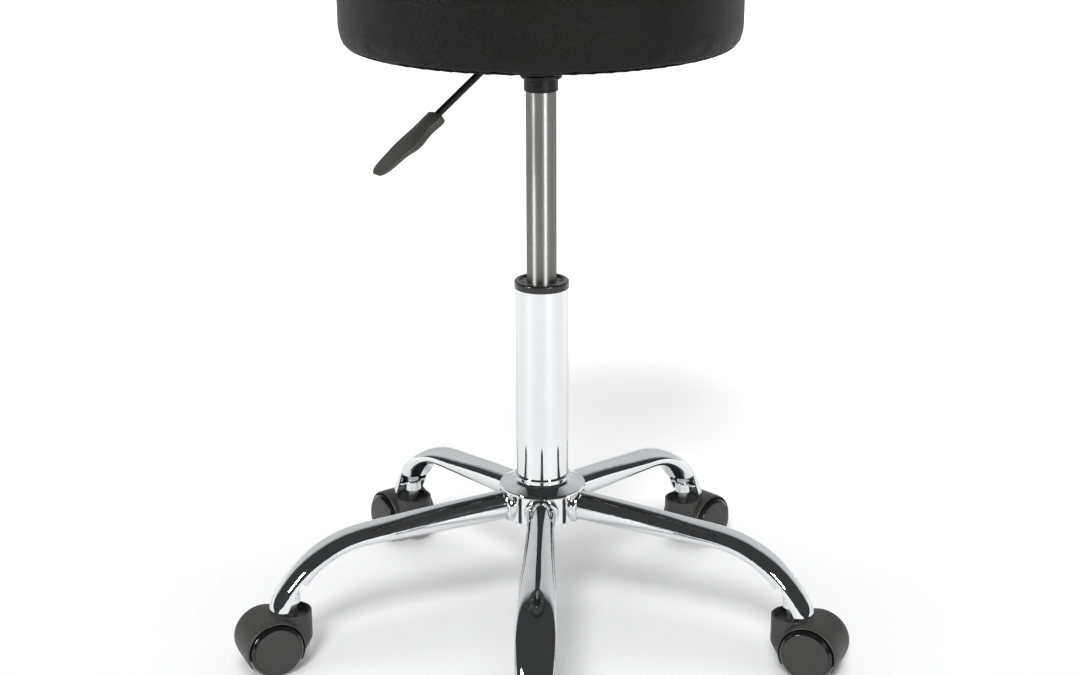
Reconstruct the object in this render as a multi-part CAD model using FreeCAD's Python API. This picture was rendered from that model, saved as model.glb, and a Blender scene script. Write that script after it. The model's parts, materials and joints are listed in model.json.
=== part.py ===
"""Rolling stylist stool: five-leg chrome base, gas lift, lever and round padded seat.

Frame: millimetres, +Z up, origin on the floor under the column's axis.
Leg 1 points along -Y and the legs follow each other anticlockwise seen from above.
"""
import FreeCAD, Part
import math
import os

V = FreeCAD.Vector
UP = V(0, 0, 1)

# Base
LEG_COUNT = 5
LEG_START = 31.0            # radius at which a leg tube begins, inside the hub
LEG_START_Z = 137.3         # height of the tube's centre there
LEG_SLOPE = 5.7             # degrees down along the straight run
LEG_TAIL_SLOPE = 64.0       # degrees down at the end
LEG_BEND_START = 173.5      # radius at which the bend begins
LEG_BEND_RADIUS = 98.5
LEG_END_Z = 58.5            # the level cut at the leg's end
LEG_WALL = 1.6
LEG_ROOT = (13.2, 14.0)     # half width and half height of the oval section at the hub
# (distance along the leg, half width, half height) of the oval section
LEG_SECTIONS = (
    (0.0, 13.2, 14.0), (31.0, 13.3, 13.8), (64.0, 13.7, 13.1), (94.0, 14.6, 11.9), (120.0, 15.8, 10.6),
    (145.0, 16.8, 9.6), (160.0, 17.2, 9.2), (175.0, 17.7, 9.0), (194.0, 18.4, 9.1), (214.0, 18.2, 9.6),
    (233.0, 17.6, 10.6), (262.0, 17.0, 11.6),
)
NOTCH_START = (241.2, 87.0)     # radius and height at which the inner half of the tube is cut away

# Hub
HUB_R = 34.5
HUB_BOTTOM = 120.5
FLANGE_R = 41.7
FLANGE_Z = 153.2
NECK_R = 26.9
NECK_TOP = 166.0
COLLAR_LENGTH = 8.0
COLLAR_WALL = 3.2

# Caster stems and their sockets
STEM_RADIUS_FROM_AXIS = 249.4
STEM_R = 5.5
STEM_BOTTOM = 26.0
STEM_TOP = 84.0
STEM_NECK_R = 4.0
SOCKET_R = 8.8
SOCKET_BOTTOM = 62.0
SOCKET_TOP = 72.0
SOCKET_WEB = 2.0
GRIP_RING_R = 6.4
GRIP_RING_HEIGHT = 6.5

# Casters
CASTER_HEADINGS = (0.0, -5.3, -7.3, 0.7, 8.7)   # degrees off each leg's own direction
TRAIL = 22.5
WHEEL_R = 25.6
WHEEL_INNER = 8.4           # inner face of a wheel from the caster's middle
WHEEL_SHOULDER = 24.3       # where the tread ends and the bevel begins
WHEEL_OUTER = 27.2
WHEEL_FACE_R = 23.0
CAP_R = 22.4
CAP_OUTER = 28.0
AXLE_R = 2.5
RUNNING = 0.06              # radial clearance of what turns or slides on a shaft
WEB_HALF = 8.0
HOOD_R = 29.0
HOOD_HALF = 23.5
HOOD_INNER_R = 27.1
HOOD_BOTTOM = 12.0
CUP_R = 19.3
CUP_INNER_R = 17.2
CUP_TOP = 54.0
CUP_FLOOR = 47.5

# Gas lift
COLUMN_R = 25.0
COLUMN_WALL = 1.8
COLUMN_TOP = 354.0
COLUMN_TAPER_TOP = 205.0
COLUMN_TAPER_BOTTOM = 121.5
COLUMN_END_R = 24.3
COLUMN_FLOOR = 2.5
RING_R = 25.8
RING_TOP = 359.5
RING_BOTTOM = 352.4
BUSH_LENGTH = 62.0
CYLINDER_R = 14.0
CYLINDER_WALL = 1.5
CYLINDER_BOTTOM = 289.0
CYLINDER_TOP = 562.4
CYLINDER_TOP_R = 13.6
ROD_R = 5.0
ROD_BOTTOM = 113.5
PISTON_BOTTOM = 303.5
PISTON_HEIGHT = 12.0
BALL_R = 2.0
BALL_COUNT = 10
BALL_CIRCLE_R = 9.5
RACE_R = 13.0
PIN_R = 2.5
PIN_TOP = 567.2
PIN_BOTTOM = 538.0

# Seat mechanism and lever; the lever points along local +X, then the set is turned
LEVER_AZIMUTH = 221.3
SOCKET_TUBE_R = 15.7
SOCKET_TUBE_BOTTOM = 538.0
SOCKET_TAPER = 0.4          # fall of the socket bore over its depth
BOX_LENGTH = 76.0
BOX_WIDTH = 56.0
BOX_BOTTOM = 560.0
SHEET = 2.5
PLATE_SIDE = 160.0
PLATE_TOP = 583.0
BOLT_SPACING = 130.0
BOLT_R = 3.0
LEVER_ROD_R = 3.25
LEVER_Z = 570.8
LEVER_PIVOT = 28.0
LEVER_INNER = -7.0
LEVER_BEND = 56.8
LEVER_BEND_RADIUS = 20.0
LEVER_DROP = 33.0           # degrees below level
PADDLE_START = 118.5       # distance from the axis at which the paddle's sleeve begins
PADDLE_LENGTH = 79.0
PADDLE_BORE = 18.0          # how far the rod goes into the paddle

# Seat
SEAT_BOTTOM = 583.6
TUCK = 1.5
BOARD_R = 170.0
BOARD_THICKNESS = 12.0
SEAT_LOW_R = 179.5
SEAT_WIDE_R = 182.0
SEAT_TOP = 667.6
DUST_COVER_R = 158.0
DUST_COVER = 0.6


def outline(corners):
    """Closed wire in the XZ plane through (x, z, corner radius) triples, with arcs at rounded corners."""
    count = len(corners)
    ends = []
    for i in range(count):
        x, z, radius = corners[i]
        here = V(x, 0, z)
        before = V(corners[i - 1][0], 0, corners[i - 1][1])
        after = V(corners[(i + 1) % count][0], 0, corners[(i + 1) % count][1])
        back = (before - here).normalize()
        on = (after - here).normalize()
        half = back.getAngle(on) / 2
        reach = radius / math.tan(half)
        start = here + back * reach
        stop = here + on * reach
        middle = here + (back + on).normalize() * (radius / math.sin(half) - radius) if radius else here
        ends.append((start, middle, stop, radius))
    edges = []
    for i in range(count):
        start, middle, stop, radius = ends[i]
        if radius:
            edges.append(Part.Arc(start, middle, stop).toShape())
        following = ends[(i + 1) % count][0]
        if stop.distanceToPoint(following) > 1e-6:
            edges.append(Part.makeLine(stop, following))
    return Part.Wire(edges)


def turned(corners):
    """Solid turned about Z from a closed outline of (radius, height, corner radius)."""
    return Part.Face(outline(corners)).revolve(V(0, 0, 0), UP, 360)


def ring(inner, outer, low, high, rounding=0.0):
    """Plain turned ring, with its four outline corners rounded alike."""
    return turned([(inner, low, 0), (outer, low, rounding), (outer, high, rounding), (inner, high, 0)])


def rod(radius, low, high):
    """Upright cylinder on the Z axis."""
    return Part.makeCylinder(radius, high - low, V(0, 0, low))


def on_axle(shape):
    """Turn a shape made about Z so that its axis is the caster's axle, with +Z outwards to +Y."""
    moved = shape.copy()
    moved.rotate(V(0, 0, 0), V(1, 0, 0), -90)
    moved.translate(V(TRAIL, 0, WHEEL_R))
    return moved


def spun(shape, degrees):
    """Copy of a shape turned about the column's axis."""
    copy = shape.copy()
    copy.rotate(V(0, 0, 0), UP, degrees)
    return copy


def leg_angle(number):
    """Direction of leg 0 to 4, in degrees anticlockwise from +X."""
    return -90 + number * 360 / LEG_COUNT


def export(node, shapes):
    """Write one node: a single solid, or a group of separate ones."""
    items = shapes if isinstance(shapes, list) else [shapes]
    solids = []
    for item in items:
        solids.extend(item.Solids)
    whole = solids[0] if len(solids) == 1 else Part.makeCompound(solids)
    whole.exportStep("parts/" + node + ".step")
    print("%-22s %3d solids  %10.1f mm3  valid %s" % (node, len(solids), whole.Volume, whole.isValid()))


# ---------------------------------------------------------------- base

def leg_station(along):
    """Centre and slope of the leg at a distance along it: a line, an arc, and a line again."""
    slope = math.radians(LEG_SLOPE)
    tail = math.radians(LEG_TAIL_SLOPE)
    straight = (LEG_BEND_START - LEG_START) / math.cos(slope)
    bend = LEG_BEND_RADIUS * (tail - slope)
    first = min(along, straight)
    now = slope + min(max(along - straight, 0), bend) / LEG_BEND_RADIUS
    rest = max(along - straight - bend, 0)
    x = LEG_START + first * math.cos(slope) + LEG_BEND_RADIUS * (math.sin(now) - math.sin(slope))
    z = LEG_START_Z - first * math.sin(slope) - LEG_BEND_RADIUS * (math.cos(slope) - math.cos(now))
    return x + rest * math.cos(tail), z - rest * math.sin(tail), now


def leg_section(along, half_width, half_height):
    """Oval wire square to the leg, for a leg along +X."""
    x, z, slope = leg_station(along)
    centre = V(x, 0, z)
    rise = V(math.sin(slope), 0, math.cos(slope))
    points = []
    for step in range(16):
        turn = 2 * math.pi * step / 16
        points.append(centre + V(0, half_width * math.cos(turn), 0) + rise * (half_height * math.sin(turn)))
    curve = Part.BSplineCurve()
    curve.interpolate(points, PeriodicFlag=True)
    return Part.Wire([curve.toShape()])


def leg_body(inset):
    """Solid leg with its section drawn in by inset."""
    sections = [leg_section(along, w - inset, h - inset) for along, w, h in LEG_SECTIONS]
    return Part.makeLoft(sections, True, False)


def make_leg():
    """Oval tube, cut level at its end, with the column side of the tail cut away."""
    tube = leg_body(0).cut(leg_body(LEG_WALL))
    below = Part.makeBox(200, 100, 100, V(150, -50, LEG_END_Z - 100))
    notch = Part.makeBox(60, 50, 30, V(0, -25, -30))
    notch.rotate(V(0, 0, 0), V(0, 1, 0), LEG_TAIL_SLOPE)
    notch.translate(V(NOTCH_START[0], 0, NOTCH_START[1]))
    return tube.cut(below).cut(notch)


def make_socket():
    """Turned sleeve with a flat web at its top, welded inside the leg's channel."""
    sleeve = ring(STEM_R + 0.02, SOCKET_R, SOCKET_BOTTOM, SOCKET_TOP, 0.6)
    sleeve.translate(V(STEM_RADIUS_FROM_AXIS, 0, 0))
    web = Part.makeBox(30, 40, SOCKET_WEB, V(STEM_RADIUS_FROM_AXIS - 3, -20, SOCKET_TOP - SOCKET_WEB))
    web = web.common(leg_body(LEG_WALL))
    hole = Part.makeCylinder(SOCKET_R - 1, 20, V(STEM_RADIUS_FROM_AXIS, 0, SOCKET_TOP - 10))
    return sleeve.fuse(web.cut(hole)).removeSplitter()


def make_stem():
    """Caster stem: plain shank, grooved neck for the grip ring and a domed tip."""
    neck_low = SOCKET_TOP + 0.5
    neck_high = neck_low + GRIP_RING_HEIGHT + 0.4
    shank = turned([
        (0, STEM_BOTTOM, 0), (STEM_R, STEM_BOTTOM, 1), (STEM_R, neck_low, 0), (STEM_NECK_R, neck_low, 0),
        (STEM_NECK_R, neck_high, 0), (4.6, neck_high, 0), (4.6, STEM_TOP, 3.2), (0, STEM_TOP, 0)])
    shank.translate(V(STEM_RADIUS_FROM_AXIS, 0, 0))
    return shank


def make_grip_ring():
    """Split sprung ring with vertical flutes, round the stem's neck."""
    low = SOCKET_TOP + 0.7
    body = ring(STEM_NECK_R + 0.02, GRIP_RING_R, low, low + GRIP_RING_HEIGHT)
    for step in range(12):
        flute = Part.makeCylinder(0.9, 20, V(GRIP_RING_R + 0.3, 0, low - 5))
        body = body.cut(spun(flute, step * 30 + 15))
    body = body.cut(Part.makeBox(10, 1.2, 20, V(0, -0.6, low - 5)))
    body.translate(V(STEM_RADIUS_FROM_AXIS, 0, 0))
    return body


def column_radius(height):
    """Outer radius of the column, which tapers towards its foot."""
    if height >= COLUMN_TAPER_TOP:
        return COLUMN_R
    share = min((COLUMN_TAPER_TOP - height) / (COLUMN_TAPER_TOP - COLUMN_TAPER_BOTTOM), 1)
    return COLUMN_R - share * (COLUMN_R - COLUMN_END_R)


def make_hub():
    """Turned hub with a domed flange, a neck round the column and a rolled collar for each leg."""
    body = turned([
        (column_radius(HUB_BOTTOM), HUB_BOTTOM, 0), (HUB_R, HUB_BOTTOM, 2.5), (HUB_R, FLANGE_Z - 2.5, 1.5),
        (FLANGE_R - 3, FLANGE_Z - 2.0, 1.0), (FLANGE_R, FLANGE_Z - 0.6, 0.8), (FLANGE_R - 0.6, FLANGE_Z + 2.0, 1.0),
        (NECK_R + 2.5, NECK_TOP - 6.5, 3.0), (NECK_R, NECK_TOP - 4.5, 0.5), (NECK_R, NECK_TOP, 1.2),
        (column_radius(NECK_TOP), NECK_TOP, 0)])
    keep_out = turned([
        (0, 0, 0), (COLUMN_END_R, 0, 0), (COLUMN_END_R, COLUMN_TAPER_BOTTOM, 0),
        (column_radius(NECK_TOP), NECK_TOP, 0),
        (column_radius(NECK_TOP), NECK_TOP + 10, 0), (0, NECK_TOP + 10, 0)])
    for number in range(LEG_COUNT):
        wires = [leg_section(along, LEG_ROOT[0] + wall, LEG_ROOT[1] + wall)
                 for along, wall in ((-4.0, COLLAR_WALL), (3.0, COLLAR_WALL), (COLLAR_LENGTH - 1.5, COLLAR_WALL - 0.4),
                                     (COLLAR_LENGTH, COLLAR_WALL - 2.2))]
        body = body.fuse(spun(Part.makeLoft(wires, True, False), leg_angle(number)))
    body = body.cut(keep_out)
    for number in range(LEG_COUNT):
        wires = [leg_section(along, LEG_ROOT[0], LEG_ROOT[1]) for along in (0.0, 31.0)]
        body = body.cut(spun(Part.makeLoft(wires, True, False), leg_angle(number)))
    return body


def make_column():
    """Chrome outer tube of the gas lift, tapered into the hub, with its floor pressed in."""
    top_in = COLUMN_R - COLUMN_WALL
    foot_in = COLUMN_END_R - COLUMN_WALL
    foot = COLUMN_TAPER_BOTTOM
    return turned([
        (ROD_R + RUNNING, foot, 0), (COLUMN_END_R, foot, 1.5), (COLUMN_R, COLUMN_TAPER_TOP, 0),
        (COLUMN_R, COLUMN_TOP, 0), (top_in, COLUMN_TOP, 0), (top_in, COLUMN_TAPER_TOP, 0),
        (foot_in, foot + COLUMN_FLOOR, 0), (ROD_R + RUNNING, foot + COLUMN_FLOOR, 0)])


def make_top_ring():
    """Black collar with a rounded lip, clipped over the column's top edge."""
    return turned([
        (COLUMN_R, RING_BOTTOM, 0), (RING_R, RING_BOTTOM, 0.3), (RING_R, RING_TOP, 1.6),
        (COLUMN_R - 4.0, RING_TOP, 1.6), (COLUMN_R - 4.0, COLUMN_TOP, 0), (COLUMN_R, COLUMN_TOP, 0)])


def make_guide_bush():
    """Plastic guide in the column's mouth: a ribbed face with slots, and a long bore."""
    top = RING_TOP - 2.0
    inner = CYLINDER_R + RUNNING
    body = turned([
        (inner, COLUMN_TOP - BUSH_LENGTH, 0), (COLUMN_R - COLUMN_WALL, COLUMN_TOP - BUSH_LENGTH, 0),
        (COLUMN_R - COLUMN_WALL, COLUMN_TOP, 0), (COLUMN_R - 4.0, COLUMN_TOP, 0), (COLUMN_R - 4.0, top, 0),
        (inner, top, 0)])
    for step in range(6):
        slot = Part.makeBox(3.2, 5.0, 6.0, V(16.2, -2.5, top - 4.0))
        body = body.cut(spun(slot, step * 60 + 12))
    return body


def make_bearing():
    """Thrust bearing on the column's floor: lower race, caged balls and upper race."""
    floor = COLUMN_TAPER_BOTTOM + COLUMN_FLOOR
    bore = ROD_R + RUNNING
    lower = ring(bore, RACE_R, floor, floor + 1.5, 0.3)
    centre = floor + 1.5 + BALL_R
    cage = ring(BALL_CIRCLE_R - 2.6, BALL_CIRCLE_R + 2.6, centre - 0.6, centre + 0.6)
    pieces = [lower, ring(bore, RACE_R, centre + BALL_R, centre + BALL_R + 1.5, 0.3)]
    for step in range(BALL_COUNT):
        angle = step * 360 / BALL_COUNT
        cage = cage.cut(spun(Part.makeSphere(BALL_R + 0.05, V(BALL_CIRCLE_R, 0, centre)), angle))
        pieces.append(spun(Part.makeSphere(BALL_R - 0.01, V(BALL_CIRCLE_R, 0, centre)), angle))
    pieces.append(cage)
    return pieces


# ---------------------------------------------------------------- what turns and slides in the column

def make_piston_rod():
    """Rod that stands on the thrust bearing, grooved at its foot for the clip."""
    groove = ROD_BOTTOM + 2.5
    return turned([
        (0, ROD_BOTTOM, 0), (ROD_R, ROD_BOTTOM, 0.8), (ROD_R, groove, 0), (ROD_R - 1, groove, 0),
        (ROD_R - 1, groove + 1.3, 0), (ROD_R, groove + 1.3, 0), (ROD_R, PISTON_BOTTOM, 0),
        (ROD_R - 1.5, PISTON_BOTTOM, 0), (ROD_R - 1.5, PISTON_BOTTOM + PISTON_HEIGHT + 2, 0),
        (0, PISTON_BOTTOM + PISTON_HEIGHT + 2, 0)])


def make_retaining_clip():
    """Spring clip and its washer under the column's floor, held in the rod's groove."""
    groove = ROD_BOTTOM + 2.5
    clip = ring(ROD_R - 1, ROD_R + 4, groove + 0.05, groove + 1.25)
    clip = clip.cut(Part.makeBox(20, 5, 5, V(0, -2.5, groove - 2)))
    washer = ring(ROD_R, ROD_R + 6, groove + 1.6, groove + 3.2)
    return [clip, washer]


def make_gas_cylinder():
    """Ground steel cylinder, closed by its valve block and tapered where it enters the seat."""
    inner = CYLINDER_R - CYLINDER_WALL
    taper = SOCKET_TUBE_BOTTOM
    return turned([
        (inner, CYLINDER_BOTTOM, 0), (CYLINDER_R, CYLINDER_BOTTOM, 0.8), (CYLINDER_R, taper, 0),
        (CYLINDER_TOP_R, CYLINDER_TOP, 0.8), (PIN_R + RUNNING, CYLINDER_TOP, 0),
        (PIN_R + RUNNING, CYLINDER_TOP - 22, 0), (inner, CYLINDER_TOP - 22, 0)])


def make_piston():
    """Piston with its ring groove, running in the cylinder."""
    outer = CYLINDER_R - CYLINDER_WALL - RUNNING
    low = PISTON_BOTTOM
    return turned([
        (ROD_R - 1.5, low, 0), (outer, low, 0.5), (outer, low + 4, 0), (outer - 1.5, low + 4, 0),
        (outer - 1.5, low + 7, 0), (outer, low + 7, 0), (outer, low + PISTON_HEIGHT, 0.5),
        (ROD_R - 1.5, low + PISTON_HEIGHT, 0)])


def make_release_pin():
    """Pin that opens the gas valve when the lever presses it."""
    return turned([(0, PIN_BOTTOM, 0), (PIN_R, PIN_BOTTOM, 0.5), (PIN_R, PIN_TOP, 1.0), (0, PIN_TOP, 0)])


# ---------------------------------------------------------------- seat

def make_socket_tube():
    """Black socket that takes the cylinder's taper, with its weld bead under the box."""
    tube = turned([
        (CYLINDER_R, SOCKET_TUBE_BOTTOM, 0), (SOCKET_TUBE_R, SOCKET_TUBE_BOTTOM, 1.2),
        (SOCKET_TUBE_R, BOX_BOTTOM + SHEET, 0),
        (CYLINDER_R - SOCKET_TAPER, BOX_BOTTOM + SHEET, 0)])
    bead_low = SOCKET_TUBE_BOTTOM + 12.0
    bead = turned([
        (SOCKET_TUBE_R - 0.5, bead_low, 0), (SOCKET_TUBE_R + 1.9, bead_low + 0.8, 1.0),
        (SOCKET_TUBE_R + 2.3, BOX_BOTTOM, 0), (SOCKET_TUBE_R - 0.5, BOX_BOTTOM, 0)])
    return tube.fuse(bead)


def make_mechanism():
    """Pressed-steel box under a square plate, with ears for the lever's pivot."""
    plate_low = PLATE_TOP - SHEET
    half = PLATE_SIDE / 2
    body = Part.makeBox(PLATE_SIDE, PLATE_SIDE, SHEET, V(-half, -half, plate_low))
    body = body.makeFillet(14.0, [e for e in body.Edges if abs(e.Length - SHEET) < 1e-6])
    window = Part.makeBox(BOX_LENGTH - 2 * SHEET, BOX_WIDTH - 2 * SHEET, 10,
                          V(SHEET - BOX_LENGTH / 2, SHEET - BOX_WIDTH / 2, plate_low - 5))
    box = Part.makeBox(BOX_LENGTH, BOX_WIDTH, plate_low - BOX_BOTTOM, V(-BOX_LENGTH / 2, -BOX_WIDTH / 2, BOX_BOTTOM))
    box = box.makeFillet(6.0, [e for e in box.Edges if abs(e.Length - (plate_low - BOX_BOTTOM)) < 1e-6])
    room = Part.makeBox(BOX_LENGTH - 2 * SHEET, BOX_WIDTH - 2 * SHEET, 40,
                        V(SHEET - BOX_LENGTH / 2, SHEET - BOX_WIDTH / 2, BOX_BOTTOM + SHEET))
    room = room.makeFillet(3.5, [e for e in room.Edges if abs(e.Length - 40) < 1e-6])
    body = body.cut(window).fuse(box.cut(room))
    for side in (-1, 1):
        ear = Part.makeBox(12, SHEET, 14.5, V(LEVER_PIVOT - 6, side * 8 - SHEET / 2, BOX_BOTTOM + SHEET))
        body = body.fuse(ear)
    body = body.cut(Part.makeBox(20, 10, 16.5, V(BOX_LENGTH / 2 - 10, -5, BOX_BOTTOM + SHEET)))
    body = body.cut(Part.makeCylinder(2.5, 30, V(LEVER_PIVOT, -15, LEVER_Z), V(0, 1, 0)))
    body = body.cut(rod(SOCKET_TUBE_R, 550, BOX_BOTTOM + SHEET))
    for x, y in bolt_places():
        body = body.cut(Part.makeCylinder(BOLT_R + 0.3, 10, V(x, y, plate_low - 5)))
    return body.removeSplitter()


def bolt_places():
    """Centres of the four seat bolts."""
    half = BOLT_SPACING / 2
    return [(x, y) for x in (-half, half) for y in (-half, half)]


def make_bolts():
    """Flat-washered hex bolts that hold the plate to the seat board."""
    head_top = PLATE_TOP - SHEET - 1.2
    bolts = []
    for x, y in bolt_places():
        head = Part.Face(Part.makePolygon(
            [V(5.77 * math.cos(math.pi * k / 3), 5.77 * math.sin(math.pi * k / 3), head_top - 4) for k in range(7)]))
        bolt = head.extrude(V(0, 0, 4)).fuse(rod(8.0, head_top, head_top + 1.2))
        bolt = bolt.fuse(rod(BOLT_R, head_top, SEAT_BOTTOM + TUCK + BOARD_THICKNESS - 1))
        bolt.translate(V(x, y, 0))
        bolts.append(bolt.removeSplitter())
    return bolts


def make_tee_nuts():
    """Flanged barrel nuts sunk into the top of the board."""
    top = SEAT_BOTTOM + TUCK + BOARD_THICKNESS
    nuts = []
    for x, y in bolt_places():
        nut = ring(BOLT_R, 4.0, top - 9, top).fuse(ring(BOLT_R, 9.5, top - 1.4, top))
        nut.translate(V(x, y, 0))
        nuts.append(nut.removeSplitter())
    return nuts


def make_board():
    """Round plywood board, bored for the tee nuts."""
    low = SEAT_BOTTOM + TUCK
    top = low + BOARD_THICKNESS
    board = turned([(0, low, 0), (BOARD_R, low, 2.0), (BOARD_R, top, 2.0), (0, top, 0)])
    for x, y in bolt_places():
        board = board.cut(Part.makeCylinder(4.0, 40, V(x, y, low - 5)))
        board = board.cut(Part.makeCylinder(9.5, 10, V(x, y, top - 1.4)))
    return board


def make_cushion():
    """Round pad: padded top and side wall, tucked under the board's edge."""
    low = SEAT_BOTTOM
    board_top = low + TUCK + BOARD_THICKNESS
    return turned([
        (0, board_top, 0), (BOARD_R, board_top, 2.0), (BOARD_R, low + TUCK, 2.0), (DUST_COVER_R - 14, low + TUCK, 0),
        (DUST_COVER_R - 14, low, 0), (SEAT_LOW_R, low, 7.0), (SEAT_WIDE_R, low + 32, 30.0),
        (SEAT_WIDE_R - 1.0, SEAT_TOP - 9, 24.0), (80.0, SEAT_TOP, 60.0), (0, SEAT_TOP, 0)])


def make_dust_cover():
    """Thin black cloth disc that hides the tucked edge."""
    cover = rod(DUST_COVER_R, SEAT_BOTTOM - DUST_COVER, SEAT_BOTTOM)
    for x, y in bolt_places():
        cover = cover.cut(Part.makeCylinder(BOLT_R + 0.3, 10, V(x, y, SEAT_BOTTOM - 5)))
    return cover


# ---------------------------------------------------------------- lever

def lever_path():
    """Line, arc and line of the lever's middle, from its inner end to inside the paddle."""
    drop = math.radians(LEVER_DROP)
    reach = LEVER_BEND_RADIUS * math.tan(drop / 2)
    down = V(math.cos(drop), 0, -math.sin(drop))
    corner = V(LEVER_BEND, 0, LEVER_Z)
    start = V(LEVER_INNER, 0, LEVER_Z)
    before = corner - V(reach, 0, 0)
    after = corner + down * reach
    toward = (V(-1, 0, 0) + down).normalize()
    middle = corner + toward * (LEVER_BEND_RADIUS / math.cos(drop / 2) - LEVER_BEND_RADIUS)
    end = corner + down * ((PADDLE_START - LEVER_BEND) / math.cos(drop) + PADDLE_BORE)
    return Part.Wire([Part.makeLine(start, before), Part.Arc(before, middle, after).toShape(),
                      Part.makeLine(after, end)])


def make_lever_rod():
    """Bent round rod with a cross boss bored for the pivot pin."""
    profile = Part.Wire([Part.makeCircle(LEVER_ROD_R, V(LEVER_INNER, 0, LEVER_Z), V(1, 0, 0))])
    body = lever_path().makePipeShell([profile], True, True)
    boss = Part.makeCylinder(5.2, 12.0, V(LEVER_PIVOT, -6.0, LEVER_Z), V(0, 1, 0))
    bore = Part.makeCylinder(2.5 + RUNNING, 30.0, V(LEVER_PIVOT, -15.0, LEVER_Z), V(0, 1, 0))
    return body.fuse(boss).cut(bore).removeSplitter()


def make_pivot_pin():
    """Pin through the ears and the lever's boss."""
    return Part.makeCylinder(2.5, 23.0, V(LEVER_PIVOT, -11.5, LEVER_Z), V(0, 1, 0))


def paddle_station(along, half_width, top, bottom, ridge):
    """Wire square to the paddle's length, for a paddle along +X: flat below, roofed by ridge above."""
    corner = 0.3 * (top - bottom)
    points = [(-half_width, bottom, corner), (half_width, bottom, corner), (half_width, top, corner),
              (0.25 * half_width, top + ridge, 0.6), (-0.25 * half_width, top + ridge, 0.6),
              (-half_width, top, corner)]
    wire = outline(points)
    wire.rotate(V(0, 0, 0), UP, 90)
    wire.translate(V(along, 0, 0))
    return wire


def make_paddle():
    """Hand paddle: a square-ended ridged sleeve on the rod, broad shoulders and a thin rounded tongue."""
    stations = [
        (0.0, 10.0, 2.6, -5.0, 1.6), (14.0, 10.0, 2.6, -5.2, 1.6), (26.0, 11.0, 2.3, -5.6, 1.4),
        (36.0, 12.4, 2.0, -5.2, 0.8), (46.0, 12.4, 1.8, -2.8, 0.3), (54.0, 11.6, 1.7, -2.0, 0.15),
        (64.0, 10.8, 1.6, -1.8, 0.12), (72.0, 9.0, 1.5, -1.6, 0.1), (PADDLE_LENGTH - 1.5, 4.8, 1.1, -1.1, 0.1),
    ]
    body = Part.makeLoft([paddle_station(*s) for s in stations], True, False)
    body = body.cut(Part.makeCylinder(LEVER_ROD_R, PADDLE_BORE + 1, V(-1, 0, 0), V(1, 0, 0)))
    drop = math.radians(LEVER_DROP)
    body.rotate(V(0, 0, 0), V(0, 1, 0), LEVER_DROP)
    body.translate(V(PADDLE_START, 0, LEVER_Z - (PADDLE_START - LEVER_BEND) * math.tan(drop)))
    return body


# ---------------------------------------------------------------- casters, made at the column's axis

def make_caster_body():
    """Swivel housing with an open cup, joined to a hood over both wheels."""
    hood = turned([
        (0, -HOOD_HALF, 0), (HOOD_R - 0.5, -HOOD_HALF, 2.0), (HOOD_R, -HOOD_HALF + 8, 10.0),
        (HOOD_R, HOOD_HALF - 8, 10.0), (HOOD_R - 0.5, HOOD_HALF, 2.0), (0, HOOD_HALF, 0)])
    hood = on_axle(hood)
    housing = turned([
        (0, HOOD_BOTTOM, 0), (CUP_R - 7, HOOD_BOTTOM, 4.0), (CUP_R, HOOD_BOTTOM + 14, 10.0),
        (CUP_R, CUP_TOP, 0.8), (CUP_INNER_R, CUP_TOP, 0.8), (CUP_INNER_R, CUP_FLOOR + 3.5, 0),
        (CUP_INNER_R - 1.2, CUP_FLOOR + 3.5, 0), (CUP_INNER_R - 1.2, CUP_FLOOR, 0), (0, CUP_FLOOR, 0)])
    body = hood.cut(Part.makeBox(120, 80, 40, V(-60, -40, HOOD_BOTTOM - 40)))
    body = body.cut(rod(CUP_INNER_R, 10, 80)).fuse(housing)
    roof = on_axle(Part.makeCylinder(HOOD_INNER_R + 1.4, 2 * HOOD_HALF - 6, V(0, 0, 3 - HOOD_HALF)))
    body = body.fuse(roof.common(rod(CUP_INNER_R + 0.5, 30, CUP_TOP - 0.6)))
    for side in (-1, 1):
        low = WEB_HALF if side > 0 else -40
        body = body.cut(on_axle(Part.makeCylinder(HOOD_INNER_R, 40 - WEB_HALF, V(0, 0, low))))
    body = body.cut(on_axle(Part.makeCylinder(AXLE_R, 60, V(0, 0, -30))))
    body = body.cut(rod(STEM_R + RUNNING, STEM_BOTTOM - 0.6, 80))
    return body.removeSplitter()


def make_wheel():
    """Dished wheel turned about Z, its outer side up: hub, web and bevelled tyre."""
    bore = AXLE_R + RUNNING
    return turned([
        (bore, WHEEL_INNER, 0), (6.5, WHEEL_INNER, 0.5), (6.5, 15.0, 0), (WHEEL_R - 4.6, 15.0, 0),
        (WHEEL_R - 4.6, WHEEL_INNER + 0.5, 0.5), (WHEEL_R - 1.2, WHEEL_INNER + 0.5, 0.6),
        (WHEEL_R, WHEEL_INNER + 3.0, 2.0), (WHEEL_R, WHEEL_SHOULDER, 1.6), (WHEEL_FACE_R, WHEEL_OUTER, 0.6),
        (CAP_R, WHEEL_OUTER, 0), (CAP_R, CAP_OUTER - 2.0, 0), (CAP_R - 3.0, CAP_OUTER - 2.0, 0),
        (CAP_R - 3.0, 18.0, 0), (6.5, 18.0, 0), (6.5, 23.5, 0), (bore, 23.5, 0)])


def make_wheel_cap():
    """Slightly crowned disc snapped into the wheel's outer face."""
    return turned([
        (0, CAP_OUTER - 2.0, 0), (CAP_R, CAP_OUTER - 2.0, 0), (CAP_R, CAP_OUTER - 0.5, 0.7),
        (CAP_R - 6.0, CAP_OUTER, 8.0), (0, CAP_OUTER, 0)])


def make_axle():
    """Steel axle pressed through the caster's middle web."""
    return Part.makeCylinder(AXLE_R, 2 * 23.0, V(0, 0, -23.0))


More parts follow.
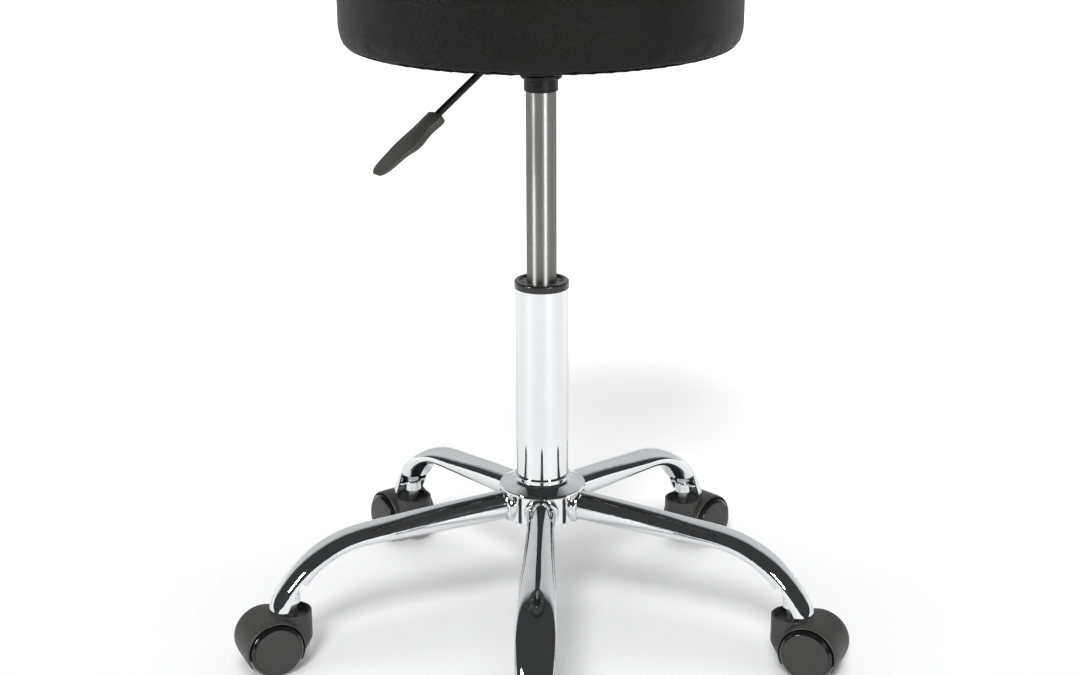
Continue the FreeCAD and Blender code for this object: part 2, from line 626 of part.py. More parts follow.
def place_caster(shape, number):
    """Copy of a caster piece under the end of one leg, trailing along its own heading."""
    heading = leg_angle(number)
    placed = spun(shape, heading + CASTER_HEADINGS[number])
    placed.translate(V(STEM_RADIUS_FROM_AXIS * math.cos(math.radians(heading)),
                       STEM_RADIUS_FROM_AXIS * math.sin(math.radians(heading)), 0))
    return placed


def export_base():
    """Everything fixed to the base."""
    leg = make_leg()
    angles = [leg_angle(n) for n in range(LEG_COUNT)]
    export("star_hub", make_hub())
    for number, angle in enumerate(angles, start=1):
        export("leg_%d" % number, spun(leg, angle))
    export("stem_sockets", [spun(make_socket(), a) for a in angles])
    export("caster_stems", [spun(make_stem(), a) for a in angles])
    export("grip_rings", [spun(make_grip_ring(), a) for a in angles])
    export("outer_column", make_column())
    export("column_top_ring", make_top_ring())
    export("guide_bush", make_guide_bush())
    export("thrust_bearing", make_bearing())


def export_lift():
    """What turns and slides inside the column."""
    inner = CYLINDER_R - CYLINDER_WALL
    bearing_top = COLUMN_TAPER_BOTTOM + COLUMN_FLOOR + 3.0 + 2 * BALL_R
    export("piston_rod", make_piston_rod())
    export("piston", make_piston())
    export("retaining_clip", make_retaining_clip())
    export("rubber_bumper", ring(ROD_R, 11.5, bearing_top + 0.05, bearing_top + 6.0, 1.0))
    export("gas_cylinder", make_gas_cylinder())
    export("cylinder_seal", ring(ROD_R + RUNNING, inner, CYLINDER_BOTTOM + 1.5, CYLINDER_BOTTOM + 13.5))
    export("release_pin", make_release_pin())


def export_seat():
    """The seat, its mechanism and the lever, turned to the lever's side."""
    pieces = {
        "socket_tube": make_socket_tube(), "seat_mechanism": make_mechanism(),
        "seat_bolts": make_bolts(), "tee_nuts": make_tee_nuts(), "seat_board": make_board(),
        "seat_cushion": make_cushion(), "dust_cover": make_dust_cover(), "lever_rod": make_lever_rod(),
        "lever_paddle": make_paddle(), "lever_pivot_pin": make_pivot_pin(),
    }
    for node, shape in pieces.items():
        items = shape if isinstance(shape, list) else [shape]
        export(node, [spun(item, LEVER_AZIMUTH) for item in items])


def export_casters():
    """Five twin-wheel casters."""
    body = make_caster_body()
    axle = on_axle(make_axle())
    sides = {}
    for side, turn in (("left", 0), ("right", 180)):
        for name, shape in (("wheel", make_wheel()), ("cap", make_wheel_cap())):
            flipped = shape.copy()
            flipped.rotate(V(0, 0, 0), V(1, 0, 0), turn)
            sides[name + "_" + side] = on_axle(flipped)
    for number in range(LEG_COUNT):
        label = str(number + 1)
        export("caster_body_" + label, place_caster(body, number))
        export("axle_" + label, place_caster(axle, number))
        for name, shape in sides.items():
            export(name + "_" + label, place_caster(shape, number))


os.makedirs("parts", exist_ok=True)
export_base()
export_lift()
export_seat()
export_casters()
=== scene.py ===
"""Rolling stylist stool: soft seat, small sewn and welded details, finishes, light and camera.

Metres, +Z up, floor at Z = 0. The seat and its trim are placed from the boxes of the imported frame.
"""

import json
import math

import bpy
import numpy as np
from mathutils import Matrix, Vector


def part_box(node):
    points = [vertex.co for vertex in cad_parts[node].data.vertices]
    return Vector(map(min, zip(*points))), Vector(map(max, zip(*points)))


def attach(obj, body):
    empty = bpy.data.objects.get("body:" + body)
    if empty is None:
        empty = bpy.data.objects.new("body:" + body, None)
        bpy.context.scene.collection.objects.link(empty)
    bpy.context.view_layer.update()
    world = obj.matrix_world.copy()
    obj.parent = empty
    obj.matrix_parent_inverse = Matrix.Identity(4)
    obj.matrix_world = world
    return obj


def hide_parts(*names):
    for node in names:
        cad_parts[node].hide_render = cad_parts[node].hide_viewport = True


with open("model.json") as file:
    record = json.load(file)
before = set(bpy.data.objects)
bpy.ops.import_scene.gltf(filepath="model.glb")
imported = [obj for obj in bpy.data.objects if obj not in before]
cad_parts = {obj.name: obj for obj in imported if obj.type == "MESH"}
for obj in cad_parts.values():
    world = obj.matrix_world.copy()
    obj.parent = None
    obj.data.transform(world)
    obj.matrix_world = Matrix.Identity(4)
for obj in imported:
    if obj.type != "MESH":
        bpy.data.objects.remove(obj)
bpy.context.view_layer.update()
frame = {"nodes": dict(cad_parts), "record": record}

TAU = 2 * math.pi
DIM = 0.045          # brightness of the dim room in front and overhead
GLOW = 0.14          # light the floor gives off near the stool
BACK_GLOW = 0.45     # and behind it, where a lit sweep would begin
OVERHEAD = 1.55      # strengths of the two even lights
KEY = 2.1
AIM = (0, 0, 0.4)    # where the strip lamps point
SENSOR = 36          # width of the camera's sensor in millimetres
LENS = 63.6667       # its focal length


# ---------------------------------------------------------------- shader building

class Value:
    """A shader number. Arithmetic on it adds Math nodes to its finish."""

    def __init__(self, finish, socket):
        self.finish = finish
        self.socket = socket

    def math(self, operation, *others, swapped=False, clamp=False):
        """One Math node on this value and up to two more."""
        terms = [self, *others]
        if swapped:
            terms.reverse()
        settings = {"operation": operation, "use_clamp": clamp}
        return self.finish.add("ShaderNodeMath", settings, dict(enumerate(terms)))

    def __add__(self, other):
        return self.math("ADD", other)

    def __sub__(self, other):
        return self.math("SUBTRACT", other)

    def __rsub__(self, other):
        return self.math("SUBTRACT", other, swapped=True)

    def __mul__(self, other):
        return self.math("MULTIPLY", other)

    def __truediv__(self, other):
        return self.math("DIVIDE", other)

    __radd__ = __add__
    __rmul__ = __mul__

    def clamped(self):
        """Held between 0 and 1."""
        return self.math("ADD", 0.0, clamp=True)

    def above(self, start, full):
        """0 at start, 1 at full, straight between; start may be the larger."""
        return ((self - start) / (full - start)).clamped()


class Finish:
    """One material, or the world, built from expressions on Value objects."""

    def __init__(self, owner, output="Principled BSDF"):
        owner.use_nodes = True
        self.owner = owner
        self.nodes = owner.node_tree.nodes
        self.links = owner.node_tree.links
        self.shader = self.nodes[output]

    def add(self, kind, settings, inputs, output=0):
        """Any node: its settings are set first, then the values or links of its sockets."""
        node = self.nodes.new(kind)
        for name, value in settings.items():
            if name == "stops":
                self.ramp(node.color_ramp, value)
            else:
                setattr(node, name, value)
        for key, value in inputs.items():
            self.feed(node.inputs[key], value)
        return Value(self, node.outputs[output])

    def feed(self, socket, value):
        """Link a Value, or set a constant."""
        if isinstance(value, Value):
            self.links.new(value.socket, socket)
        else:
            socket.default_value = value

    def ramp(self, ramp, stops):
        """Fill a colour ramp from (place, colour) pairs."""
        ramp.elements[0].position, ramp.elements[0].color = stops[0]
        ramp.elements[1].position, ramp.elements[1].color = stops[-1]
        for place, colour in stops[1:-1]:
            ramp.elements.new(place).color = colour

    def set(self, **sockets):
        """Feed sockets of the shader by name, with underscores for spaces."""
        for name, value in sockets.items():
            self.feed(self.shader.inputs[name.replace("_", " ")], value)

    def place(self, scale=(1, 1, 1)):
        """Object coordinates, stretched along each axis."""
        where = self.add("ShaderNodeTexCoord", {}, {}, "Object")
        return self.add("ShaderNodeMapping", {"vector_type": "POINT"}, {"Vector": where, "Scale": scale})

    def axes(self, vector):
        """The three parts of a vector."""
        node = self.add("ShaderNodeSeparateXYZ", {}, {0: vector}).socket.node
        return [Value(self, socket) for socket in node.outputs]

    def noise(self, size, detail=2.0, rough=0.5, where=None, **more):
        """Noise from 0 to 1 whose blotches are about size metres across."""
        where = where or self.place()
        inputs = {"Vector": where, "Scale": 1 / size, "Detail": detail, "Roughness": rough, **more}
        return self.add("ShaderNodeTexNoise", {}, inputs)

    def cells(self, size, uneven):
        """Distance to the edge of Voronoi cells about size metres across."""
        inputs = {"Vector": self.place(), "Scale": 1 / size, "Randomness": uneven}
        return self.add("ShaderNodeTexVoronoi", {"feature": "DISTANCE_TO_EDGE"}, inputs)

    def blend(self, share, first, second):
        """Colour between first and second."""
        return self.add("ShaderNodeMix", {"data_type": "RGBA"}, {0: share, 6: first, 7: second}, 2)

    def bump(self, height, depth):
        """Normal from a height of 0 to 1 that stands for depth metres."""
        return self.add("ShaderNodeBump", {}, {"Height": height, "Distance": depth, "Strength": 1.0})


def grey(level):
    """Neutral colour."""
    return (level, level, level, 1)


def finish(name, colour, rough, metal=0.0, **constants):
    """New material with its plain values set on the shader's own sockets. A varying one may replace them."""
    made = Finish(bpy.data.materials.new(name))
    made.set(Base_Color=(*colour, 1), Roughness=rough, Metallic=metal, **constants)
    return made


# ---------------------------------------------------------------- finishes

def chrome_plate():
    """Bright plate: faint polishing waviness, thin haze and a few wiped smudges."""
    # Specular tint 0.7 dims the reflection towards grazing angles: painted shade on the edges of round parts
    made = finish("chrome_plate", (0.83, 0.84, 0.855), 0.05, metal=1.0, Specular_Tint=grey(0.7))
    haze = made.noise(0.045, 3).above(0.45, 0.75)
    wiped = made.noise(0.006, 4, where=made.place(scale=(1, 1, 0.2))).above(0.5, 0.8)
    made.set(Roughness=0.035 + 0.05 * haze * wiped)
    made.set(Base_Color=made.blend(haze, (0.84, 0.85, 0.865, 1), (0.79, 0.80, 0.815, 1)))
    made.set(Normal=made.bump(made.noise(0.018, 1), 0.00004))
    return made


def zinc_plate():
    """Dull bright zinc with mottled crystals."""
    made = finish("zinc_plate", (0.6, 0.6, 0.6), 0.3, metal=1.0)
    mottle = made.noise(0.004, 4)
    made.set(Base_Color=made.blend(mottle, (0.42, 0.42, 0.43, 1), (0.72, 0.72, 0.73, 1)))
    made.set(Roughness=0.2 + 0.25 * mottle)
    made.set(Normal=made.bump(made.noise(0.0009, 3), 0.00003))
    return made


def ground_steel():
    """Centreless-ground tube: very fine rings round it and a trace of oil."""
    # Specular tint 0.35 dims the reflection towards grazing angles: painted shade on the tube's edges
    made = finish("ground_steel", (0.5, 0.5, 0.495), 0.3, metal=1.0, Specular_Tint=grey(0.35),
                  Anisotropic=0.85, Anisotropic_Rotation=0.25)
    rings = made.noise(0.0005, 2, where=made.place(scale=(0.004, 0.004, 1)))
    oil = made.noise(0.03, 3)
    made.set(Base_Color=made.blend(rings, (0.26, 0.26, 0.257, 1), (0.34, 0.34, 0.336, 1)))
    made.set(Roughness=0.38 + 0.05 * oil + 0.04 * rings)
    return made


def moulded(name, low, high, rough, grain, depth):
    """Moulded plastic with a spark-eroded grain, slightly uneven in colour and sheen."""
    made = finish(name, low, rough)
    speck = made.noise(grain, 3, 0.6)
    drift = made.noise(0.03, 3)
    made.set(Base_Color=made.blend((0.5 * speck + 0.5 * drift).above(0.3, 0.7), (*low, 1), (*high, 1)))
    made.set(Roughness=rough - 0.06 + 0.12 * drift)
    made.set(Normal=made.bump(speck, depth))
    return made


def powder_coat():
    """Black powder coat with orange peel."""
    made = finish("powder_coat", (0.01, 0.01, 0.01), 0.42, Specular_IOR_Level=0.25)
    peel = made.noise(0.0016, 2)
    drift = made.noise(0.02, 3)
    made.set(Base_Color=made.blend(drift, (0.005, 0.005, 0.005, 1), (0.010, 0.010, 0.0097, 1)))
    made.set(Roughness=0.36 + 0.14 * drift)
    made.set(Normal=made.bump(peel, 0.00012))
    return made


def rubber():
    """Matt black rubber with bloom."""
    made = finish("rubber", (0.02, 0.02, 0.02), 0.8)
    bloom = made.noise(0.008, 4)
    made.set(Base_Color=made.blend(bloom, (0.015, 0.015, 0.015, 1), (0.045, 0.045, 0.045, 1)))
    made.set(Normal=made.bump(made.noise(0.0006, 2), 0.00005))
    return made


def birch_ply():
    """Birch plywood: long grain across the faces and thin plies seen at the edge."""
    made = finish("birch_ply", (0.6, 0.45, 0.3), 0.65)
    grain = made.noise(0.01, 5, 0.6, where=made.place(scale=(0.06, 1, 1)))
    height = made.axes(made.place())[2]
    plies = (height * (TAU / 0.003)).math("SINE") * 0.5 + 0.5
    tone = made.blend(grain, (0.66, 0.51, 0.34, 1), (0.50, 0.35, 0.21, 1))
    made.set(Base_Color=made.blend(plies * 0.25, tone, (0.36, 0.24, 0.14, 1)))
    made.set(Roughness=0.6 + 0.15 * grain)
    made.set(Normal=made.bump(grain, 0.0001))
    return made


def vinyl():
    """Black upholstery vinyl: pebbles about 1.3 mm across between fine creases, and soft lighter patches. The
    pebble tops carry painted highlights and the creases painted shade.
    """
    made = finish("vinyl", (0.010, 0.010, 0.0096), 0.48, Specular_IOR_Level=0.2)
    pebbles = made.cells(0.0013, 0.95).above(0.0, 0.22)
    fine = made.noise(0.0005, 3, 0.6)
    bent = made.noise(0.005, 3)
    patches = made.noise(0.06, 3, 0.55).above(0.3, 0.75)
    tone = made.blend(patches, (0.0075, 0.0075, 0.0072, 1), (0.0140, 0.0140, 0.0134, 1))
    # painted highlight: lighter specks on the tops of the pebbles
    tone_and_painted_highlights = made.blend((fine * pebbles).above(0.35, 0.8), tone, (0.034, 0.034, 0.0325, 1))
    # painted shade: darker towards the creases between the pebbles
    made.set(Base_Color=made.blend((1 - pebbles) * 0.7, tone_and_painted_highlights, (0.003, 0.003, 0.0028, 1)))
    made.set(Roughness=0.40 + 0.08 * patches + 0.12 * (1 - pebbles))
    made.set(Normal=made.bump(0.7 * pebbles + 0.3 * fine + 0.5 * bent, 0.0008))
    return made


def backing_cloth():
    """Spun-bonded backing cloth: random fibres pressed into a faint dot lattice."""
    made = finish("backing_cloth", (0.02, 0.02, 0.02), 0.9, Sheen_Weight=0.3)
    fibres = made.noise(0.0012, 5, 0.7, Distortion=1.5)
    x, y, _ = made.axes(made.place())
    lattice = TAU / 0.0022
    dots = ((x * lattice).math("SINE") * (y * lattice).math("SINE")).above(0.3, 0.9)
    made.set(Base_Color=made.blend(fibres, (0.012, 0.012, 0.012, 1), (0.055, 0.055, 0.055, 1)))
    made.set(Normal=made.bump(fibres - 0.6 * dots, 0.00015))
    return made


def thread():
    """Twisted black thread."""
    made = finish("thread", (0.03, 0.03, 0.03), 0.6)
    ply = made.noise(0.0006, 2)
    made.set(Base_Color=made.blend(ply, (0.02, 0.02, 0.02, 1), (0.07, 0.07, 0.068, 1)))
    made.set(Normal=made.bump(ply, 0.00008))
    return made


def all_finishes():
    """The finish of each slot in the record, and the thread."""
    return {
        "chrome": chrome_plate(),
        "zinc_steel": zinc_plate(),
        "ground_steel": ground_steel(),
        "black_plastic_gloss": moulded("gloss_black", (0.012, 0.012, 0.012), (0.02, 0.02, 0.02),
                                       rough=0.22, grain=0.0012, depth=0.00001),
        "grey_plastic": moulded("grey_bush", (0.10, 0.10, 0.10), (0.16, 0.16, 0.158),
                                rough=0.5, grain=0.0006, depth=0.00003),
        "black_rubber": rubber(),
        "black_paint": powder_coat(),
        "plywood": birch_ply(),
        "black_vinyl": vinyl(),
        "black_cloth": backing_cloth(),
        "paddle_plastic": moulded("paddle_plastic", (0.042, 0.042, 0.04), (0.06, 0.06, 0.057),
                                  rough=0.5, grain=0.0005, depth=0.00005),
        "hood_plastic": moulded("hood_plastic", (0.025, 0.025, 0.0242), (0.038, 0.038, 0.0368),
                                rough=0.5, grain=0.0005, depth=0.00005),
        "tyre_plastic": moulded("tyre_plastic", (0.005, 0.005, 0.005), (0.010, 0.010, 0.010),
                                rough=0.14, grain=0.001, depth=0.00001),
        "thread": thread(),
    }


materials = all_finishes()


# ---------------------------------------------------------------- light, floor and camera

def studio():
    """White surroundings for the camera. Round the stool: a light wall behind and beside it, and a dim room
    in front and overhead."""
    world = bpy.data.worlds.new("studio")
    bpy.context.scene.world = world
    sky = Finish(world, "Background")
    _, away, height = sky.axes(sky.add("ShaderNodeTexCoord", {}, {}, "Generated"))
    stops = [(0.0, grey(0.78)), (0.45, grey(0.68)), (0.78, grey(0.5)), (0.88, grey(0.22)), (0.94, grey(DIM)),
             (1.0, grey(DIM))]
    wall = sky.add("ShaderNodeValToRGB", {"stops": stops}, {0: height})
    room = sky.blend((away * -1).above(-0.62, -0.45), wall, grey(DIM))
    seen = sky.add("ShaderNodeLightPath", {}, {}, "Is Camera Ray")
    sky.feed(sky.shader.inputs["Color"], sky.blend(seen, room, grey(1.0)))


def floor():
    """Level white floor with uneven paint. It gives off a little light near the stool and more behind it."""
    half = 8.0
    corners = [(-half, -half, 0), (half, -half, 0), (half, half, 0), (-half, half, 0)]
    mesh = bpy.data.meshes.new("floor")
    mesh.from_pydata(corners, [], [(0, 1, 2, 3)])
    plane = bpy.data.objects.new("floor", mesh)
    bpy.context.scene.collection.objects.link(plane)
    paint = finish("floor_paint", (0.8, 0.8, 0.8), 0.8, Emission_Color=grey(1.0), Emission_Strength=1.0)
    _, away, _ = paint.axes(paint.place())
    paint.set(Roughness=0.75 + 0.1 * paint.noise(0.2))
    paint.set(Emission_Color=paint.blend(away.above(0.1, 1.0), grey(GLOW), grey(BACK_GLOW)))
    mesh.materials.append(paint.owner)


def link_light(name, light, matrix):
    """Put a light in the scene. The camera never sees its shape."""
    made = bpy.data.objects.new(name, light)
    made.matrix_world = matrix
    made.visible_camera = False
    bpy.context.scene.collection.objects.link(made)
    return made


def strip(name, place, size, power):
    """Tall lamp for highlights, aimed at the column: what shines sees it, and it lights nothing else."""
    light = bpy.data.lights.new(name, "AREA")
    light.shape = "RECTANGLE"
    light.size, light.size_y = size
    light.energy = power
    turn = (Vector(AIM) - Vector(place)).to_track_quat("-Z", "Y").to_matrix().to_4x4()
    link_light(name, light, Matrix.Translation(place) @ turn).visible_diffuse = False


def sun(name, energy, spread, turn):
    """Even light over the whole floor, with a soft edge to its shadows and no glare in what shines."""
    light = bpy.data.lights.new(name, "SUN")
    light.angle = math.radians(spread)
    light.energy = energy
    link_light(name, light, turn).visible_glossy = False


def lamps():
    """A very soft light from overhead, a sharper one from in front, and a tall strip on each side."""
    sun("overhead", OVERHEAD, 44, Matrix.Rotation(math.radians(4), 4, "X"))
    from_left = Matrix.Rotation(math.radians(-8), 4, "Z")
    sun("key", KEY, 14, from_left @ Matrix.Rotation(math.radians(48), 4, "X"))
    strip("left_strip", (-1.9, -1.3, 0.95), (0.35, 0.6), 38)
    strip("right_strip", (1.3, -2.0, 0.95), (0.3, 0.6), 42)


def camera():
    """Camera in front of leg 1, higher than the seat, looking down."""
    distance, height = 1.714, 0.869
    azimuth, pitch, roll, yaw = 1.62, 18.3, -0.22, 0.06
    turn = Matrix.Rotation(math.radians(azimuth), 4, "Z")
    place = turn @ Vector((0, -distance, height))
    lens = bpy.data.cameras.new("camera")
    lens.sensor_width = SENSOR
    lens.lens = LENS
    lens.clip_end = 30
    made = bpy.data.objects.new("camera", lens)
    made.matrix_world = (Matrix.Translation(place) @ Matrix.Rotation(math.radians(azimuth + yaw), 4, "Z")
                         @ Matrix.Rotation(math.radians(90 - pitch), 4, "X")
                         @ Matrix.Rotation(math.radians(roll), 4, "Z"))
    bpy.context.scene.collection.objects.link(made)
    bpy.context.scene.camera = made


# ---------------------------------------------------------------- meshes

def new_piece(name, points, faces, material):
    """Smooth mesh object at the origin from an array of points and a list of faces."""
    mesh = bpy.data.meshes.new(name)
    mesh.from_pydata(points.tolist(), [], faces)
    mesh.polygons.foreach_set("use_smooth", np.ones(len(mesh.polygons), bool))
    mesh.materials.append(material.owner)
    mesh.update()
    made = bpy.data.objects.new(name, mesh)
    bpy.context.scene.collection.objects.link(made)
    return made


def grid_faces(rows, columns, wrap_rows=False, wrap_columns=False):
    """Quads over a rows x columns grid of points, wrapped where asked."""
    r = np.arange(rows if wrap_rows else rows - 1)
    c = np.arange(columns if wrap_columns else columns - 1)
    r, c = (a.ravel() for a in np.meshgrid(r, c, indexing="ij"))
    r2 = (r + 1) % rows
    c2 = (c + 1) % columns
    return np.stack([r * columns + c, r * columns + c2, r2 * columns + c2, r2 * columns + c], 1)


def turned(profile, segments):
    """Points of a profile of (radius, height) rows turned round Z, as rows of profile points by segments."""
    r, z = np.asarray(profile, float).T
    turn = np.arange(segments) * TAU / segments
    return np.stack([np.outer(r, np.cos(turn)), np.outer(r, np.sin(turn)), np.outer(z, np.ones(segments))], 2)


def even_profile(corners, step):
    """Corner points of a profile filled in so that no gap is longer than step."""
    filled = [np.asarray(corners[0], float)[None]]
    for first, second in zip(corners[:-1], corners[1:]):
        first, second = np.asarray(first, float), np.asarray(second, float)
        count = max(1, math.ceil(np.linalg.norm(second - first) / step))
        share = np.arange(1, count + 1)[:, None] / count
        filled.append(first + share * (second - first))
    return np.concatenate(filled)


def coordinates(mesh):
    """Vertex places of a mesh as an array."""
    flat = np.empty(len(mesh.vertices) * 3)
    mesh.vertices.foreach_get("co", flat)
    return flat.reshape(-1, 3)


def evaluated(piece):
    """New mesh of a piece as its modifiers leave it."""
    return bpy.data.meshes.new_from_object(piece.evaluated_get(bpy.context.evaluated_depsgraph_get()))


def bake_modifiers(piece):
    """Replace the piece's mesh by what its modifiers make of it."""
    mesh = evaluated(piece)
    piece.modifiers.clear()
    piece.data = mesh


# ---------------------------------------------------------------- seat

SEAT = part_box("seat_cushion")
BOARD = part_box("seat_board")
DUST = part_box("dust_cover")
SEAM_Z = SEAT[1].z - 0.0135      # height of the seam between side band and top panel
SEAM_R = SEAT[1].x - 0.0050
WELD_Z = 0.5520                  # middle of the weld at the top of the socket tube
STAPLE_R = 0.1635                # radius of the ring of staples
SHELL_R = BOARD[1].x + 0.004     # the seat's wall is outside this radius
WALL_CAP = 0.004                 # furthest that filling moves a point of the wall
TOP_CAP = 0.010                  # and of the top


def seat_blank():
    """Seat before it is filled: a turned block with a pocket for the board. Its wall is 2.4 mm inside the CAD
    one and rounds under over the lowest 9 mm. Its top rises 5 mm * (1 - x^2)^0.62 above the seam, x being the
    radius over the seam's radius."""
    step = 0.004
    low, wall = SEAT[0].z, SEAT[1].x - 0.0024
    pocket_r, pocket_top = BOARD[1].x + 0.0012, BOARD[1].z + 0.0006
    crown = [(SEAM_R * x, SEAM_Z + 0.0050 * (1 - x ** 2) ** 0.62) for x in np.linspace(0, 1, 24)]
    side = [(wall, SEAM_Z - 0.008), (wall - 0.0002, low + 0.009), (wall - 0.0006, low + 0.004),
            (wall - 0.0026, low + 0.001)]
    pocket = [(pocket_r + 0.001, low + 0.0003), (pocket_r, low + 0.002), (pocket_r, pocket_top),
              (0, pocket_top)]
    points = turned(even_profile(crown + side + pocket, step), 240)
    rows, columns, _ = points.shape
    faces = grid_faces(rows, columns, wrap_columns=True)[:, ::-1].tolist()
    blank = new_piece("soft_seat", points.reshape(-1, 3), faces, materials["black_vinyl"])
    voxels = blank.modifiers.new("voxels", "REMESH")
    voxels.mode = "VOXEL"
    voxels.voxel_size = step
    bake_modifiers(blank)
    return blank


def held(points):
    """True where the cover is fixed: in the pocket, under the rim and at the seam."""
    r = np.hypot(points[:, 0], points[:, 1])
    z = points[:, 2]
    pocket = (z < BOARD[1].z + 0.0035) & (r < BOARD[1].x + 0.0045)
    rim = z < SEAT[0].z + 0.0035
    seam = np.hypot(r - SEAM_R, z - SEAM_Z) < 0.0032
    return pocket | rim | seam


def fill(piece):
    """Blow the cover up as cloth under pressure. A move d of a point becomes cap * tanh(d / cap), so that no
    point goes further than its cap."""
    start = coordinates(piece.data)
    moved = blown(piece, start) - start
    length = np.linalg.norm(moved, axis=1, keepdims=True) + 1e-12
    cap = np.where(start[:, 2:3] > SEAM_Z, TOP_CAP, WALL_CAP)
    piece.data.vertices.foreach_set("co", (start + moved / length * cap * np.tanh(length / cap)).ravel())
    piece.data.update()


def blown(piece, start):
    """Where the cover's points are after 20 frames of cloth under pressure, with no gravity."""
    group = piece.vertex_groups.new(name="held")
    group.add(np.flatnonzero(held(start)).tolist(), 1.0, "REPLACE")
    cloth = piece.modifiers.new("cloth", "CLOTH")
    cloth.settings.quality = 6
    cloth.settings.vertex_group_mass = "held"
    cloth.settings.use_pressure = True
    cloth.settings.uniform_pressure_force = 4
    cloth.settings.shrink_min = -0.012
    cloth.settings.effector_weights.gravity = 0
    for frame_number in range(1, 21):
        bpy.context.scene.frame_set(frame_number)
    ended = coordinates(evaluated(piece))
    piece.modifiers.clear()
    bpy.context.scene.frame_set(1)
    return ended


def sew(piece):
    """Pinch the cover at the seam and gather it at the lower edge. At a distance d from the seam and an angle
    a round it, the pinch is 1.6 mm * exp(-(d / 2.4 mm)^2) + 0.4 mm * exp(-(d / 9 mm)^2) * cos(61 a). It goes
    inwards and down by 0.7 of that. The gathers are soft waves of 0.25 mm, deepest 12 mm above the edge."""
    bend = piece.modifiers.new("smooth", "SUBSURF")
    bend.levels = bend.render_levels = 1
    bake_modifiers(piece)
    points = coordinates(piece.data)
    r = np.hypot(points[:, 0], points[:, 1])
    turn = np.arctan2(points[:, 1], points[:, 0])
    outward = points * [1, 1, 0] / (r[:, None] + 1e-9)
    off_seam = np.hypot(r - SEAM_R, points[:, 2] - SEAM_Z)
    pinch = 0.0016 * np.exp(-(off_seam / 0.0024) ** 2)
    pinch += 0.0004 * np.exp(-(off_seam / 0.009) ** 2) * np.cos(61 * turn)
    above = points[:, 2] - SEAT[0].z
    waves = (np.cos(23 * turn + 1.3) + np.cos(37 * turn + 4.0) + 0.7 * np.cos(11 * turn)) / 2.7
    gather = 0.00025 * waves * np.exp(-((above - 0.012) / 0.014) ** 2) * (r > SHELL_R)
    points += outward * (gather - 0.7 * pinch)[:, None]
    points[:, 2] -= 0.7 * pinch
    piece.data.vertices.foreach_set("co", points.ravel())
    piece.data.polygons.foreach_set("use_smooth", np.ones(len(piece.data.polygons), bool))
    piece.data.update()


def soft_seat():
    """The filled vinyl seat, its tucked and stapled lower edge, its stitches and the weld under it."""
    seat = seat_blank()
    fill(seat)
    sew(seat)
    seat.data.materials.clear()
    seat.data.materials.append(materials["black_vinyl"].owner)
    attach(seat, "seat")
    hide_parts("seat_cushion")
    trim = [(tucked_edge(), "black_vinyl"), (staples(), "zinc_steel"), (stitches(seat), "black_vinyl"),
            (socket_weld(), "black_paint")]
    for piece, slot in trim:
        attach(piece, "seat")


def tucked_edge():
    """Vinyl drawn under the board in pleats. At radius r the sheet hangs 1.0 mm * w(r) * s(u) below its base,
    where u counts the uneven pleats round the seat, s rises slowly and drops fast, and w is 0 at both edges
    and small under the staples. The base lifts by 0.8 mm towards the outer edge."""
    inner, outer, sheet = 0.146, BOARD[1].x + 0.0052, 0.0009
    pleats = 74
    around = 10 * pleats
    radii = np.linspace(inner, outer, 26)
    turn = np.arange(around) * TAU / around
    u = (pleats * turn / TAU + 0.28 * np.sin(5 * turn) + 0.2 * np.sin(13 * turn + 1)) % 1
    saw = np.where(u < 0.78, u / 0.78, (1 - u) / 0.22) ** 1.4
    out = np.clip((radii - DUST[1].x - 0.001) / (outer - DUST[1].x - 0.001), 0, 1)
    share = np.sin(np.pi * out) ** 0.8 * (1 - 0.7 * np.exp(-((radii - STAPLE_R) / 0.0022) ** 2))
    base = SEAT[0].z + np.where(radii < DUST[1].x + 0.0008, 0.0001, -0.0002) + 0.0008 * out ** 6
    low = base[:, None] - 0.0010 * share[:, None] * saw[None]
    loop_r = np.concatenate([radii, radii[::-1]])
    loop_z = np.concatenate([low, (low + sheet)[::-1]])
    points = np.stack([loop_r[:, None] * np.cos(turn), loop_r[:, None] * np.sin(turn), loop_z], 2)
    rows, columns, _ = points.shape
    faces = grid_faces(rows, columns, wrap_rows=True, wrap_columns=True).tolist()
    return new_piece("tucked_edge", points.reshape(-1, 3), faces, materials["black_vinyl"])


def wires(path, radius, sides, places):
    """Copies of one bent wire. The wire has a round section at each (along, up) point of its path, and each
    place is a (centre, along, up) triple of vectors."""
    path = np.asarray(path, float)
    step = np.gradient(path, axis=0)
    step /= np.linalg.norm(step, axis=1, keepdims=True)
    spoke = np.arange(sides) * TAU / sides
    across = radius * np.cos(spoke)[None, :, None] * np.stack([-step[:, 1], step[:, 0]], 1)[:, None]
    flat = path[:, None] + across
    side = np.broadcast_to(radius * np.sin(spoke), flat.shape[:2])
    centre, along, up = (np.asarray(part, float)[:, None, None] for part in places)
    level = np.cross(along, up)
    points = centre + along * flat[None, ..., :1] + up * flat[None, ..., 1:] + level * side[None, ..., None]
    rows = len(path)
    body = grid_faces(rows, sides, wrap_columns=True)
    block = rows * sides
    offsets = np.arange(len(centre))[:, None, None] * block
    faces = (body[None] + offsets).reshape(-1, 4).tolist()
    ends = np.stack([np.arange(sides)[::-1], np.arange(block - sides, block)])
    return points.reshape(-1, 3), faces + (ends[None] + offsets).reshape(-1, sides).tolist()


def ring_places(count, radius, height, wobble):
    """Places evenly round a ring: centre, direction along the ring turned by up to wobble radians, and up."""
    turn = np.arange(count) * TAU / count
    twist = turn + wobble * np.sin(turn * 7 + 0.5)
    centre = np.stack([radius * np.cos(turn), radius * np.sin(turn), np.broadcast_to(height, turn.shape)], 1)
    along = np.stack([-np.sin(twist), np.cos(twist), np.zeros(count)], 1)
    return centre, along, np.tile([0.0, 0.0, 1.0], (count, 1))


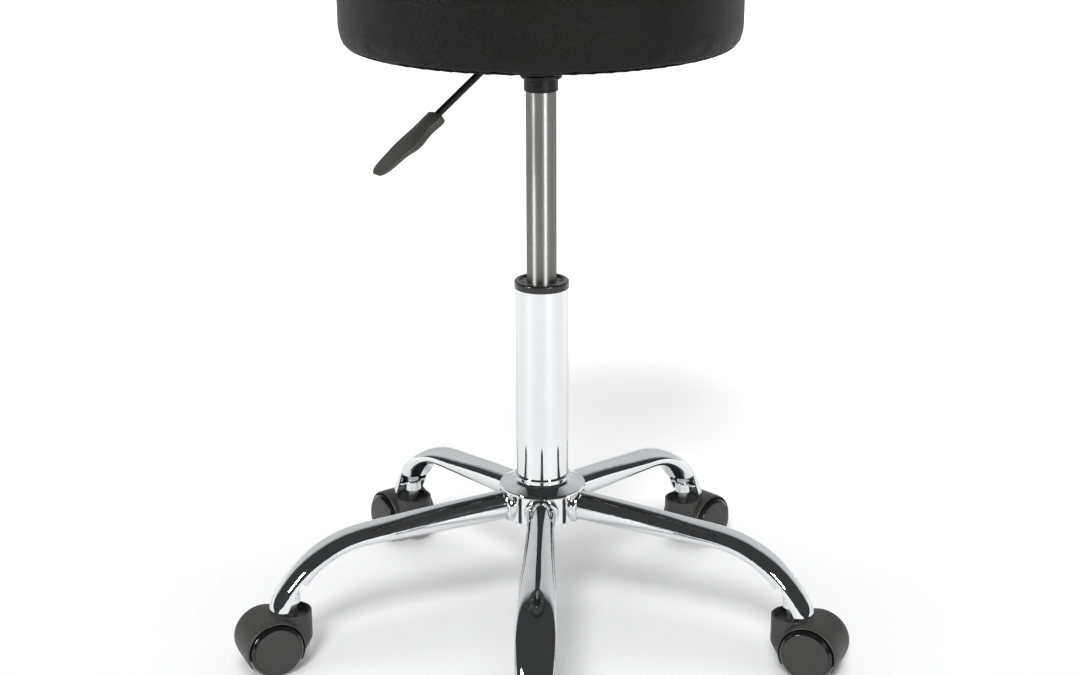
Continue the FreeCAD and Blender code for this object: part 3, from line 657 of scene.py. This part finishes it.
def staples():
    """Ring of wire staples through the tucked edge. Each crown is 10 mm long, with its legs going up."""
    count, wire = 46, 0.00035
    path = [(-0.005, 0.0016), (-0.005, 0.0004), (-0.0046, 0), (0.0046, 0), (0.005, 0.0004), (0.005, 0.0016)]
    points, faces = wires(path, wire, 6, ring_places(count, STAPLE_R, SEAT[0].z - 0.0010, 0.16))
    return new_piece("staples", points, faces, materials["zinc_steel"])


def stitches(seat):
    """Lock stitches 2.8 mm long, 3.8 mm below the seam, lying in the face of the seat's wall."""
    count, wire = 300, 0.0003
    points = coordinates(seat.data)
    height = SEAM_Z - 0.0038
    near = points[np.abs(points[:, 2] - height) < 0.0012]
    turn = np.arctan2(near[:, 1], near[:, 0]) % TAU
    order = np.argsort(turn)
    places = np.arange(count) * TAU / count
    radius = np.interp(places, turn[order], np.hypot(near[:, 0], near[:, 1])[order], period=TAU)
    path = [(-0.0014, -0.0005), (-0.0008, 0.0001), (0, 0.0002), (0.0008, 0.0001), (0.0014, -0.0005)]
    centre, along, _ = ring_places(count, radius, height, 0.0)
    level = np.stack([np.cos(places), np.sin(places), np.zeros(count)], 1)
    points, faces = wires(path, wire, 6, (centre, along, level))
    return new_piece("seam_stitches", points, faces, materials["thread"])


def socket_weld():
    """Lumpy weld round the socket tube: a ring whose section, 2.1 mm in radius, grows by up to a fifth and
    shrinks again 17 times a turn, unevenly."""
    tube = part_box("socket_tube")
    around, sides = 204, 14
    turn = np.arange(around) * TAU / around
    spoke = np.arange(sides) * TAU / sides
    lump = 1 + 0.16 * np.abs(np.sin(8.5 * turn + 0.4 * np.sin(3 * turn))) + 0.06 * np.sin(5 * turn + 2)
    radius = 0.0021 * lump
    ring = tube[1].x - 0.0006 + radius[:, None] * np.cos(spoke)[None] * 0.8
    height = WELD_Z + 0.0003 * np.sin(4 * turn)[:, None] + radius[:, None] * np.sin(spoke)[None]
    points = np.stack([ring * np.cos(turn)[:, None], ring * np.sin(turn)[:, None], height], 2)
    faces = grid_faces(around, sides, wrap_rows=True, wrap_columns=True)[:, ::-1].tolist()
    return new_piece("socket_weld", points.reshape(-1, 3), faces, materials["black_paint"])


# ---------------------------------------------------------------- dress the frame

def dress():
    """Give every CAD node the finish of its slot in the record."""
    slots = {part["node"]: part["material_slot"] for part in frame["record"]["subparts"]}
    for name, node in frame["nodes"].items():
        node.data.materials.clear()
        node.data.materials.append(materials[slots[name]].owner)


dress()
studio()
floor()
lamps()
camera()
soft_seat()
bpy.context.scene.view_settings.view_transform = "Standard"
